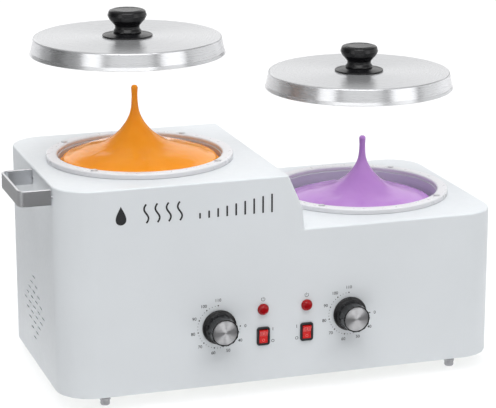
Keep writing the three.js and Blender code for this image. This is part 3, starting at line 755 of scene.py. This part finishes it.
def make_wax_peak(side, level):
    """Wax drawn up in a point with a bead at its tip; its foot bulges over the pool."""
    height = millimetres(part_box(f"wax_peak_{side}")[1].z) - level
    loops = [[place(0, 0, -PEAK_SINK)]]
    for radius, share in smooth_curve(PEAK_OUTLINE, CURVE_STEPS):
        offset = WAX_LEAN[side] * max(0, 1 - (radius / PEAK_REACH) ** 2)
        if radius < PEAK_TIP:
            loops.append([place(WAX_LEAN[side], 0, height)])
            continue
        loops.append([place(u, v, share * height) for u, v in disc(radius, ROUND, (offset, 0))])
    centre = middle(f"pot_{side}")
    peak = add_piece(f"wax_drawn_{side}", skin(loops), WAXES[side], "root",
                     (centre.x, centre.y, level * MM), replaces=(f"wax_peak_{side}",), sharp=75)
    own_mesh(peak)


# ------------------------ lids
# Heights are measured from the foot of the lid's skirt.


def make_lid_pan(side, foot):
    under = LID_HEIGHT - LID_SHEET
    profile = rounded([
        (LID_RADIUS - 1, 0), (LID_RADIUS, 0, 0.3), (LID_RADIUS - 1.6, 4, 3),
        (LID_TOP_RADIUS, LID_HEIGHT, 1.9), (LID_HOLE_RADIUS, LID_HEIGHT), (LID_HOLE_RADIUS, under),
        (LID_TOP_RADIUS - 1.1, under, 1), (LID_RADIUS - 2.6, 4, 3),
    ], closed=True)
    add_piece(f"lid_pan_{side}", lathe(profile, closed=True), LID_METAL, f"lid_{side}",
              foot, replaces=(f"lid_{side}",))


def make_knob_plate(side, foot):
    base = LID_HEIGHT + GAP
    top = base + FLANGE_HEIGHT
    profile = rounded([
        (LID_HOLE_RADIUS, base), (FLANGE_RADIUS, base, 0.4), (FLANGE_RADIUS, base + 1.4, 0.8),
        (21, base + 2.9, 6), (15, top), (LID_HOLE_RADIUS, top),
    ], closed=True)
    add_piece(f"knob_plate_{side}", lathe(profile, closed=True), BLACK, f"lid_{side}",
              foot, replaces=(f"lid_knob_flange_{side}",))


def make_knob(side, foot):
    """A waisted knob with a shallow dished top and a blind hole for its screw."""
    base = LID_HEIGHT + GAP + FLANGE_HEIGHT + GAP
    bore, bore_end = 2.3, base + 12
    profile = rounded([
        (0, bore_end), (bore, bore_end), (bore, base), (15.8, base, 0.5), (15.4, base + 1.6, 0.8),
        (13.6, base + 4.2, 2), (13.8, base + 7.4, 2.5), (19.4, base + 13.8, 3), (21.9, base + 18.6, 2.2),
        (20.2, base + 24, 3.4), (16.5, base + 25.3, 2), (13, base + 24.6, 4), (0, base + 24.9),
    ])
    add_piece(f"knob_{side}", lathe(profile, KNOB_ROUND), BLACK, f"lid_{side}", foot,
              replaces=(f"lid_knob_{side}",))


def make_lid_screw(side, foot):
    """A pan-head screw from below, through lid and flange into the knob."""
    seat = LID_HEIGHT - 1.1
    shank, tip = 2, seat + 15
    profile = rounded([
        (0, seat - 2.3), (3.4, seat - 2.2, 0.9), (4.5, seat, 0.1), (shank, seat), (shank, tip), (0, tip),
    ])
    add_piece(f"pan_screw_{side}", lathe(profile, SMALL_ROUND), ZINC, f"lid_{side}", foot,
              replaces=(f"lid_screw_{side}",))


def make_lid(side):
    centre = middle(f"lid_{side}")
    foot = Vector((centre.x, centre.y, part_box(f"lid_{side}")[0].z))
    make_lid_pan(side, foot)
    make_knob_plate(side, foot)
    make_knob(side, foot)
    make_lid_screw(side, foot)


# ------------------------ controls
# Drawn with x to the right, y up and z out of the panel, then turned to face the user.

FACING = (90, 0, 0)


def on_panel(node):
    """The place on the front wall straight behind a node's middle."""
    centre = middle(node)
    return Vector((centre.x, FRONT_Y, centre.z))


def printed_ring(inner, outer):
    return lathe([(inner, 0), (outer, 0), (outer, PRINT), (inner, PRINT)], RING_ROUND, closed=True)


def make_dial(side):
    body = f"dial_{side}"
    spot = on_panel(f"dial_cap_{side}")
    grip, top = DIAL_GRIP_RADIUS, DIAL_DEPTH
    recess = DIAL_CAP_RADIUS + GAP
    flute_edge, flute_start = DIAL_CAP_RADIUS + 0.8, 7
    outline = rounded([
        (0, 6), (3.1, 6), (3.1, 1), (DIAL_SKIRT_RADIUS, 1, 0.3), (DIAL_SKIRT_RADIUS, 3.2, 1.6),
        (grip + 0.6, 4.8, 1.2), (grip, 7.5, 1.2), (grip - 0.3, top, 0.9),
        (recess, top, 0.2), (recess, top - 1.6), (0, top - 1.6),
    ])
    fluted = [
        (u, v, DIAL_FLUTE_DEPTH if u > flute_edge and v > flute_start else 0) for u, v in outline
    ]
    add_piece(f"dial_grip_{side}", lathe(fluted, ROUND * 2, flutes=DIAL_FLUTES), BLACK, body,
              spot, FACING, (f"dial_knob_{side}",))
    face = rounded([
        (0, top - 1.5), (DIAL_CAP_RADIUS, top - 1.5), (DIAL_CAP_RADIUS, top - 1.1, 0.3), (0, top),
    ])
    add_piece(f"dial_face_{side}", lathe(face), DIAL_METAL, body, spot, FACING,
              (f"dial_cap_{side}",))


def make_switch(side):
    spot = on_panel(f"switch_frame_{side}")
    profile = rounded([
        (2.2, 0.2), (2.2, 1.7, 0.6), (1.6, 2, 0.2), (-0.2, 2, 0.2), (-0.2, -12), (1, -12), (1, 0.2),
    ], closed=True)
    bezel = frame_loft(*BEZEL_OPENING, profile, closed=True)
    back = frame_loft(*BEZEL_OPENING, [(1, -20), (1, -12.4)])
    add_piece(f"rocker_bezel_{side}", joined(bezel, back), SATIN_BLACK, "root", spot,
              FACING, (f"switch_frame_{side}",))

    pivot = Vector((spot.x, FRONT_Y + 1 * MM, spot.z))
    outline = rounded([
        (-4, 7.4, 0.5), (-2.6, 0, 9), (-4, -7.4, 0.5), (0.5, -7.8, 1), (5.5, -3, 1), (5.5, 3, 1),
        (0.5, 7.8, 1),
    ], closed=True)
    key = soften(prism(outline, -ROCKER_HALF_WIDTH, ROCKER_HALF_WIDTH, axis="x"), 0.35, 3)
    rocker = moved(key, turn=(ROCKER_TILT, 0, 0))
    add_piece(f"rocker_key_{side}", rocker, RED, f"rocker_{side}", pivot,
              replaces=(f"switch_rocker_{side}",))
    facet = math.degrees(math.atan2(1.4, 7.4))
    out, up = -3.32, 4.1
    bar_mark = prism(rounded_rectangle(0.7, 3.2, 0.3), 0, PRINT)
    bar_mark = moved(bar_mark, (0, out, up), (90 + facet, 0, 0))
    ring_mark = moved(printed_ring(1.1, 1.7), (0, out, -up), (90 - facet, 0, 0))
    marks = moved(joined(bar_mark, ring_mark), turn=(ROCKER_TILT, 0, 0))
    add_piece(f"rocker_marks_{side}", marks, PALE_INK, f"rocker_{side}", pivot)


def make_lamp(side):
    spot = on_panel(f"lamp_lens_{side}")
    dome = rounded([
        (0, -3), (4.2, -3), (4.2, 0.2), (6.5, 0.2), (6.5, 1.1, 0.4), (5.9, 1.2, 0.15), (5.5, 3.6, 2.6),
        (3.4, 5.3, 4), (0, 5.5),
    ])
    add_piece(f"lamp_dome_{side}", lathe(dome, KNOB_ROUND), LENS, "root", spot, FACING,
              (f"lamp_lens_{side}",))


# ------------------------ handles and inlet


def make_handle(side):
    low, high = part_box(f"handle_{side}")
    outward = 1 if side == "right" else -1
    half = millimetres(high.y - low.y) / 2
    strap = millimetres(high.z - low.z)
    wall = BODY_LENGTH / 2 + GAP
    reach = millimetres(max(abs(low.x), abs(high.x))) - wall
    inside = half - HANDLE_THICKNESS
    inner_reach = reach - HANDLE_THICKNESS
    inner_corner = HANDLE_CORNER - HANDLE_THICKNESS
    outline = rounded([
        (0, -half), (reach, -half, HANDLE_CORNER), (reach, half, HANDLE_CORNER), (0, half), (0, inside),
        (inner_reach, inside, inner_corner), (inner_reach, -inside, inner_corner), (0, -inside),
    ], closed=True)
    loop = soften(prism(outline, -strap / 2, strap / 2), 0.7, 3)
    stud_y = half - HANDLE_THICKNESS / 2
    studs = [
        moved(prism(disc(STUD_RADIUS, STUD_ROUND), -STUD_LENGTH, 0.5), (0, y, 0), (0, 90, 0))
        for y in (-stud_y, stud_y)
    ]
    whole = joined(loop, *studs)
    turn = (0, 0, 0 if outward > 0 else 180)
    centre = (low + high) / 2
    spot = (outward * wall * MM, centre.y, centre.z)
    add_piece(f"handle_strap_{side}", whole, STRAP_STEEL, "root", spot, turn,
              (f"handle_{side}",))


def make_inlet():
    centre = middle("power_inlet")
    spot = Vector((centre.x, REAR_Y, centre.z))
    facing = (90, 0, 180)
    profile = rounded([
        (3.5, 0.2), (3.5, 2.5, 0.8), (0, 2.5, 0.5), (0, -15), (0.8, -15), (1.8, -20), (1.8, 0.2),
    ], closed=True)
    shell = frame_loft(*INLET_OPENING, profile, closed=True)
    back = frame_loft(*INLET_OPENING, [(-0.2, -19.5), (-0.2, -15.2)])
    add_piece("inlet_housing", joined(shell, back), SATIN_BLACK, "root", spot, facing,
              ("power_inlet",))
    for i, (x, y) in enumerate(((-7, -1), (0, 3), (7, -1)), start=1):
        pin = frame_loft(2, 4, 0.3, [(0, -16), (0, -3.4), (-0.25, -3)])
        pin = soften(moved(pin, (x, y, 0)), 0.1, 2)
        add_piece(f"inlet_pin_{i}", pin, BRASS, "root", spot, facing)


# ------------------------ printed marks

SCALE_STEP = 33              # degrees between two figures of the dial scale
SCALE_TOP = 92               # the angle of the highest figure
SCALE_FIGURES = (110, 100, 90, 80, 70, 60, 50, 40, 0)
SMALL_DOTS = 3
DOT_CIRCLE = 24.5
FIGURE_CIRCLE = 30.5
FIGURE_HEIGHT = 3.6
FONT_CAPITAL = 0.73          # height of a figure in the built-in font at size 1
FONT_SWELL = 0.03            # how far a figure's outline is fattened
BIG_DOT = 0.8
SMALL_DOT = 0.42
POWER_RING = 2.1
POWER_HEIGHT = 11.6          # of the power symbol's middle over its lamp
SWITCH_MARK_X = 11.5         # from the switch's middle to its on and off marks

BAND_Z = 217.8               # middle of the row of pictograms
BAND_HEIGHT = 21
BAND_LINE = 2.0
DROP_X = -188
WAVES = 4
WAVE_X = -160
WAVE_PITCH = 12.5
WAVE_SWAY = 2.4
WAVE_STEPS = 24
BARS = 9
FIRST_BAR_X = -100
LAST_BAR_X = -18
SHORTEST_BAR = 0.3           # as a share of the tallest one


def figure(text, height, x, y):
    """A printed number, centred on x, y."""
    curve = bpy.data.curves.new("figure", "FONT")
    curve.body = text
    curve.size = height / FONT_CAPITAL * MM
    curve.align_x = "CENTER"
    curve.align_y = "CENTER"
    curve.extrude = PRINT / 2 * MM
    curve.offset = FONT_SWELL * MM
    holder = new_object("figure", curve)
    bpy.context.view_layer.update()
    mesh = bpy.data.meshes.new_from_object(holder)
    bm = bmesh.new()
    bm.from_mesh(mesh)
    bpy.data.objects.remove(holder)
    bpy.data.curves.remove(curve)
    bpy.data.meshes.remove(mesh)
    return moved(bm, (x, y, PRINT / 2))


def dot(radius, x, y):
    return prism(disc(radius, DOT_ROUND, (x, y)), 0, PRINT)


def stroke(points, width):
    """A flat line of even width along points."""
    left, right = [], []
    for i, point in enumerate(points):
        ahead = Vector(points[min(i + 1, len(points) - 1)]) - Vector(points[max(i - 1, 0)])
        side = Vector((-ahead.y, ahead.x)).normalized() * (width / 2)
        left.append(Vector(point) + side)
        right.append(Vector(point) - side)
    return prism(left + right[::-1], 0, PRINT)


def polar(radius, degrees):
    angle = math.radians(degrees)
    return radius * math.cos(angle), radius * math.sin(angle)


def arc(radius, start, end, steps=24):
    return [polar(radius, start + (end - start) * i / steps) for i in range(steps + 1)]


def print_on_front(name, parts, spot):
    add_piece(name, joined(*parts), INK, "root", spot, FACING)


def make_dial_scale(side):
    marks = []
    for i, value in enumerate(SCALE_FIGURES):
        angle = SCALE_TOP + i * SCALE_STEP
        marks.append(dot(BIG_DOT, *polar(DOT_CIRCLE, angle)))
        marks.append(figure(str(value), FIGURE_HEIGHT, *polar(FIGURE_CIRCLE, angle)))
        if value == SCALE_FIGURES[-1]:
            break
        for j in range(SMALL_DOTS):
            between = angle + SCALE_STEP * (j + 1) / (SMALL_DOTS + 1)
            marks.append(dot(SMALL_DOT, *polar(DOT_CIRCLE, between)))
    print_on_front(f"dial_scale_{side}", marks, on_panel(f"dial_cap_{side}"))


def make_lamp_symbol(side):
    """The power symbol over each lamp."""
    marks = [
        moved(stroke(arc(POWER_RING, 125, 415), 0.5), (0, POWER_HEIGHT, 0)),
        stroke([(0, POWER_HEIGHT), (0, POWER_HEIGHT + 2.7)], 0.5),
    ]
    print_on_front(f"lamp_symbol_{side}", marks, on_panel(f"lamp_lens_{side}"))


def make_switch_marks(side):
    """On and off marks beside the rocker: a bar and a ring."""
    x = SWITCH_MARK_X if side == "left" else -SWITCH_MARK_X
    marks = [
        stroke([(x, 5.2), (x, 9)], 0.55),
        moved(printed_ring(1.3, 1.8), (x, -6.6, 0)),
    ]
    print_on_front(f"switch_marks_{side}", marks, on_panel(f"switch_frame_{side}"))


def drop_outline(height):
    """A drop: a round foot that closes in a point."""
    radius = height * 0.32
    points = []
    for i in range(48):
        angle = 2 * math.pi * i / 48
        narrow = math.sin(angle / 2) ** 1.5
        points.append((radius * math.sin(angle) * narrow * 1.25, height / 2 * math.cos(angle)))
    return points


def heat_wave(x):
    wave = []
    for i in range(WAVE_STEPS + 1):
        share = i / WAVE_STEPS
        wave.append((x + WAVE_SWAY * math.sin(2 * math.pi * share), BAND_HEIGHT * (share - 0.5)))
    return stroke(wave, BAND_LINE)


def level_bar(x, height):
    """An upright bar that stands on the band's foot, with a round top."""
    half = BAND_LINE / 2
    foot = -BAND_HEIGHT / 2
    corner = BAND_LINE * ROUND_END
    outline = rounded([
        (x - half, foot), (x + half, foot),
        (x + half, foot + height, corner), (x - half, foot + height, corner),
    ], closed=True)
    return prism(outline, 0, PRINT)


def make_front_band():
    """A plain row of pictograms: a drop, rising heat and a level."""
    marks = [prism([(u + DROP_X, v) for u, v in drop_outline(BAND_HEIGHT)], 0, PRINT)]
    for i in range(WAVES):
        marks.append(heat_wave(WAVE_X + i * WAVE_PITCH))
    for i in range(BARS):
        share = i / (BARS - 1)
        x = FIRST_BAR_X + (LAST_BAR_X - FIRST_BAR_X) * share
        marks.append(level_bar(x, BAND_HEIGHT * (SHORTEST_BAR + (1 - SHORTEST_BAR) * share)))
    print_on_front("front_pictograms", marks, Vector((0, FRONT_Y, BAND_Z * MM)))


# ------------------------ carried-over CAD nodes


EASED_EDGE = 0.25


def dress_cad_nodes():
    """The inner pieces keep their CAD shape, with eased edges and their own finishes."""
    finishes = {"base_pan": ZINC, "terminal_block": CERAMIC}
    for side in SIDES:
        finishes[f"band_heater_{side}"] = MICA
        finishes[f"insulation_{side}"] = WOOL
        finishes[f"thermostat_{side}"] = ZINC
        finishes[f"thermostat_shaft_{side}"] = ZINC
        finishes[f"lamp_body_{side}"] = SATIN_BLACK
        for i in (1, 2):
            finishes[f"handle_nut_{side}_{i}"] = ZINC
    for name, material in finishes.items():
        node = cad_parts[name]
        node.data.materials.clear()
        node.data.materials.append(material)
        edges = node.modifiers.new("eased_edges", "BEVEL")
        edges.width = EASED_EDGE * MM
        edges.segments = 2
        edges.limit_method = "ANGLE"
        edges.angle_limit = math.radians(40)


# ------------------------ camera, floor and light
# Places, widths, heights and distances are in metres here, and angles are in degrees.

SENSOR_WIDTH = 36             # millimetres
FOCAL_LENGTH = 149.785        # millimetres
LENS_SHIFT_X = 0.02778
LENS_SHIFT_Y = 0.04691
CLIP_END = 60
CAMERA_PLACE = (-0.72223, -2.17528, 0.80685)
CAMERA_YAW = 17.853
CAMERA_PITCH = -15.868
CAMERA_ROLL = -0.127

FLOOR_REACH = 40              # from the middle to each side
SKY_HORIZON = 0.1
SKY_ZENITH = 0.75
SKY_STEEPNESS = 1.6

PANEL_TARGET = (0, 0, 0.25)
# Soft boxes: name, azimuth, elevation, distance, width, height and radiance.
PANELS = (
    ("left_soft_box", -41, 12, 2.6, 1.0, 1.5, 1.9),
    ("right_soft_box", 56, 12, 2.6, 1.5, 1.5, 1.9),
    ("camera_fill", 4, 12, 3.0, 2.8, 1.5, 0.75),
    ("right_fill", 112, 12, 2.8, 3.4, 1.5, 0.8),
    ("left_fill", -140, 12, 2.8, 2.2, 1.5, 0.4),
    ("back_soft_box", 180, 22, 2.8, 3.0, 1.3, 1.0),
    ("top_box", 0, 50, 1.9, 1.8, 0.9, 3.6),
)

# An upright card, for a dark band on polished metal: name, azimuth, distance, width, height and grey.
CARD = ("left_card", -86, 2.4, 1.0, 1.8, 60)
CARD_SINK = 0.1               # how far the card reaches below the floor
# Mats on the floor, seen in polished faces that look down: width, depth, grey and middle.
MATS = {
    "front_mat": (3.2, 1.6, 140, (0.3, FRONT_Y - 0.86, 0.004)),
    "left_mat": (1.4, 2.6, 225, (BODY_LOW.x - 0.75, 0.9, 0.006)),
}

SUN_SPREAD = 70
KEY_STRENGTH = 3.0
KEY_PLACE = (0.07, -0.57, 2.4)
FLOOR_STRENGTH = 2.4
FLOOR_LIGHT_PLACE = (0.0, 0.0, 2.4)
LID_PIECES = ("lid_", "knob_", "pan_screw_")    # how the names of the lids' pieces begin


def make_camera():
    data = bpy.data.cameras.new("camera")
    data.sensor_width = SENSOR_WIDTH
    data.lens = FOCAL_LENGTH
    data.shift_x = LENS_SHIFT_X
    data.shift_y = LENS_SHIFT_Y
    data.clip_end = CLIP_END
    camera = new_object("camera", data)
    yaw, pitch, roll = (math.radians(a) for a in (CAMERA_YAW, CAMERA_PITCH, CAMERA_ROLL))
    camera.location = CAMERA_PLACE
    forward = Vector((
        math.sin(yaw) * math.cos(pitch),
        math.cos(yaw) * math.cos(pitch),
        math.sin(pitch),
    ))
    camera.rotation_mode = "QUATERNION"
    camera.rotation_quaternion = forward.to_track_quat("-Z", "Y")
    camera.rotation_quaternion.rotate(Matrix.Rotation(-roll, 3, forward))
    bpy.context.scene.camera = camera


def plain_surface(name, colour, roughness):
    finish = Finish(name, colour, roughness)
    finish.drive("Roughness", finish.noise(3), roughness - 0.05, roughness + 0.05)
    return finish.material


def make_floor():
    bm = bmesh.new()
    bmesh.ops.create_grid(bm, x_segments=4, y_segments=4, size=FLOOR_REACH)
    mesh = new_mesh("floor", bm)
    mesh.materials.append(plain_surface("floor_white", display(244, 244, 245), 0.8))
    floor = new_object("floor", mesh)


def make_world():
    """A sky that is brighter overhead, like a tent of diffusing cloth."""
    world = bpy.data.worlds.new("soft_tent")
    world.use_nodes = True
    tree = world.node_tree
    background = tree.nodes["Background"]
    coordinates = tree.nodes.new("ShaderNodeTexCoord")
    split = tree.nodes.new("ShaderNodeSeparateXYZ")
    steep = tree.nodes.new("ShaderNodeMath")
    steep.operation = "POWER"
    steep.inputs[1].default_value = SKY_STEEPNESS
    strength = tree.nodes.new("ShaderNodeMapRange")
    tree.links.new(coordinates.outputs["Generated"], split.inputs[0])
    tree.links.new(split.outputs["Z"], steep.inputs[0])
    tree.links.new(steep.outputs[0], strength.inputs["Value"])
    limits = {"From Min": 0.0, "From Max": 1.0, "To Min": SKY_HORIZON, "To Max": SKY_ZENITH}
    for socket, value in limits.items():
        strength.inputs[socket].default_value = value
    tree.links.new(strength.outputs[0], background.inputs["Strength"])
    background.inputs["Color"].default_value = (1.0, 1.0, 1.0, 1.0)
    bpy.context.scene.world = world


def aim(obj, target):
    obj.rotation_mode = "QUATERNION"
    obj.rotation_quaternion = (Vector(target) - obj.location).to_track_quat("-Z", "Y")


def add_panel(name, azimuth, elevation, distance, width, height, radiance):
    """A soft box that shines in polished surfaces only, so that it doesn't flatten the paint.

    Azimuth 0 is over the camera's shoulder and grows to its right.
    """
    data = bpy.data.lights.new(name, "AREA")
    data.shape = "RECTANGLE"
    data.size = width
    data.size_y = height
    data.energy = radiance * math.pi * width * height
    panel = new_object(name, data)
    heading = math.radians(azimuth - CAMERA_YAW)
    rise = math.radians(elevation)
    target = Vector(PANEL_TARGET)
    panel.location = target + distance * Vector((
        math.sin(heading) * math.cos(rise),
        -math.cos(heading) * math.cos(rise),
        math.sin(rise),
    ))
    aim(panel, target)
    panel.visible_camera = False
    panel.visible_diffuse = False


def add_reflected_card(name, width, height, grey, location):
    """A card that only shows in reflections."""
    bm = bmesh.new()
    corners = [(x * width / 2, y * height / 2, 0) for x, y in ((-1, -1), (1, -1), (1, 1), (-1, 1))]
    bm.faces.new([bm.verts.new(corner) for corner in corners])
    mesh = new_mesh(name, bm)
    mesh.materials.append(plain_surface(name, display(grey, grey, grey), 0.9))
    card = new_object(name, mesh)
    card.location = location
    card.visible_camera = False
    card.visible_diffuse = False
    card.visible_shadow = False
    return card


def add_card(name, azimuth, distance, width, height, grey):
    """A reflected card that stands upright and faces the object."""
    heading = math.radians(azimuth - CAMERA_YAW)
    rise = height / 2 - CARD_SINK
    centre = Vector((math.sin(heading) * distance, -math.cos(heading) * distance, rise))
    aim(add_reflected_card(name, width, height, grey, centre), (0, 0, rise))


def named_collection(name, objects):
    collection = bpy.data.collections.new(name)
    for obj in objects:
        collection.objects.link(obj)
    return collection


def add_sun(name, strength, location, receivers, blockers):
    """A very soft light that only reaches some objects, and is only shaded by some."""
    data = bpy.data.lights.new(name, "SUN")
    data.energy = strength
    data.angle = math.radians(SUN_SPREAD)
    sun = new_object(name, data)
    sun.location = location
    aim(sun, (0, 0, 0))
    sun.visible_glossy = False
    sun.light_linking.receiver_collection = named_collection(f"{name}_reaches", receivers)
    sun.light_linking.blocker_collection = named_collection(f"{name}_shaded_by", blockers)


def make_suns():
    """The decks and the wax are lit through the raised lids, and the object casts no sun shadow on
    the floor."""
    shapes = [obj for obj in bpy.context.scene.objects if obj.type == "MESH"]
    floor = [obj for obj in shapes if obj.name == "floor"]
    product = [obj for obj in shapes if obj.name not in ("floor", CARD[0], *MATS)]
    shading = [obj for obj in product if not obj.name.startswith(LID_PIECES)]
    add_sun("key_light", KEY_STRENGTH, KEY_PLACE, product, shading)
    add_sun("floor_light", FLOOR_STRENGTH, FLOOR_LIGHT_PLACE, floor, floor)


def make_lights():
    for panel in PANELS:
        add_panel(*panel)
    add_card(*CARD)
    for name, mat in MATS.items():
        add_reflected_card(name, *mat)


# ------------------------ assembly

make_camera()
make_world()
make_lights()
make_floor()
make_casing()
make_feet()
for side in SIDES:
    seat = middle(f"pot_{side}")
    seat.z = DECKS[side] * MM
    depth = DECKS[side] - millimetres(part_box(f"pot_{side}")[0].z) - POT_WALL
    level = millimetres(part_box(f"wax_fill_{side}")[1].z)
    make_pot(side, seat, depth)
    make_rim(side, seat)
    make_rivets(side, seat)
    make_wax_pool(side, seat, depth, level - DECKS[side])
    make_wax_peak(side, level)
    make_lid(side)
    make_dial(side)
    make_switch(side)
    make_lamp(side)
    make_handle(side)
    make_dial_scale(side)
    make_lamp_symbol(side)
    make_switch_marks(side)
make_inlet()
make_front_band()
dress_cad_nodes()
make_suns()

bpy.context.scene.view_settings.view_transform = "Standard"
